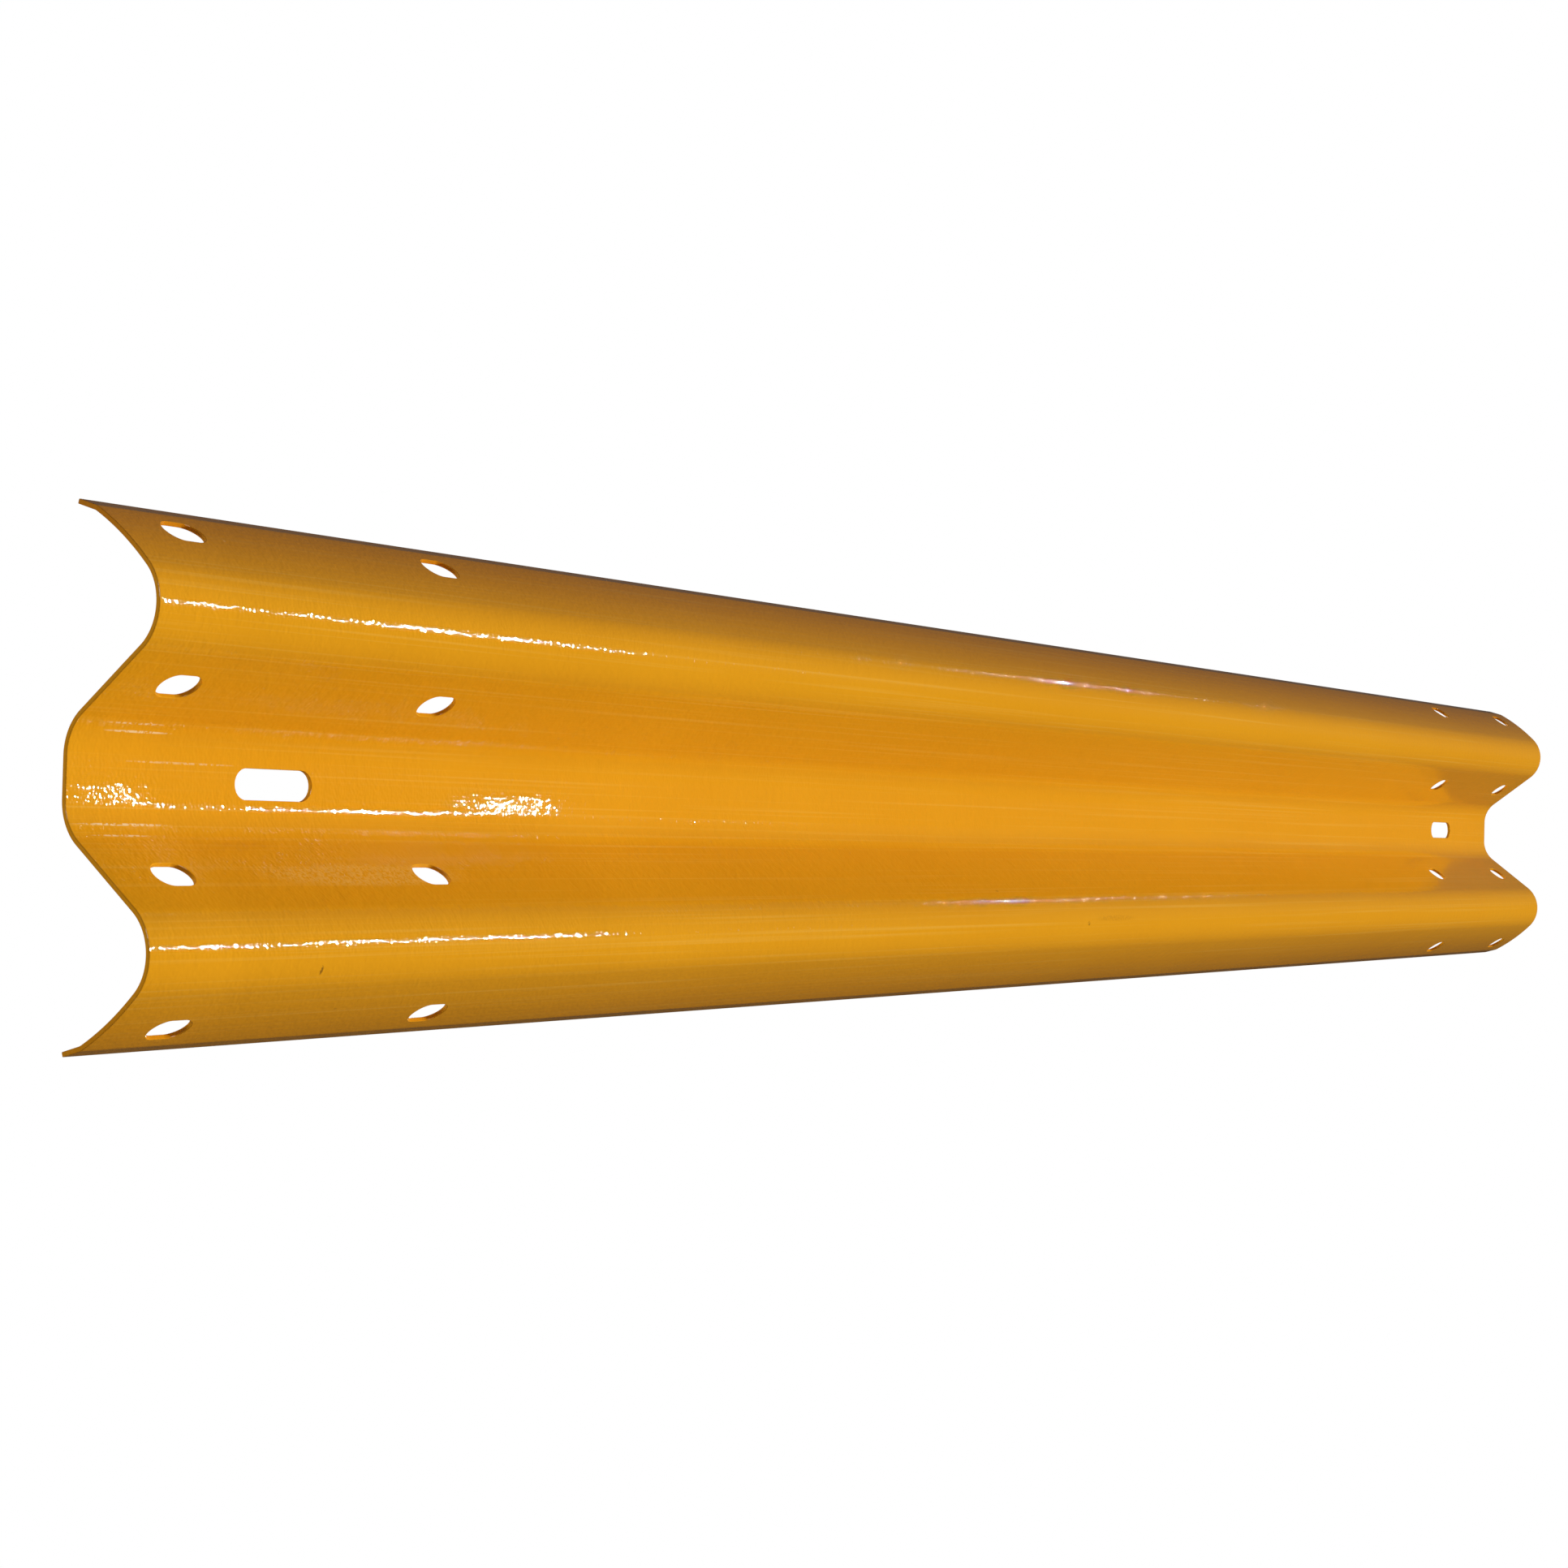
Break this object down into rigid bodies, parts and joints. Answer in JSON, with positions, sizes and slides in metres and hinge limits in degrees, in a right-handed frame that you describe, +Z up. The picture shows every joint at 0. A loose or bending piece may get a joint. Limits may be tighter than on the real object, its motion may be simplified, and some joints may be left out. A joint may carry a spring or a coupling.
{
  "type": "guardrail panel",
  "caption": "Roll-formed W-beam guardrail panel in glossy orange powder coat, with post slots in its valley and splice slots at the ends where panels lap.",
  "frame": {"origin": "on the back face of the valley, at the middle of the panel's length and height", "axes": "+X along the panel, +Y from the road to the post, +Z up"},
  "size_m": [2.32, 0.0739, 0.31],
  "materials": {
    "powder_coat": "glossy orange polyester powder coat"
  },
  "bodies": {
    "root": {"w_beam_rail": "powder_coat"}
  },
  "joints": []
}
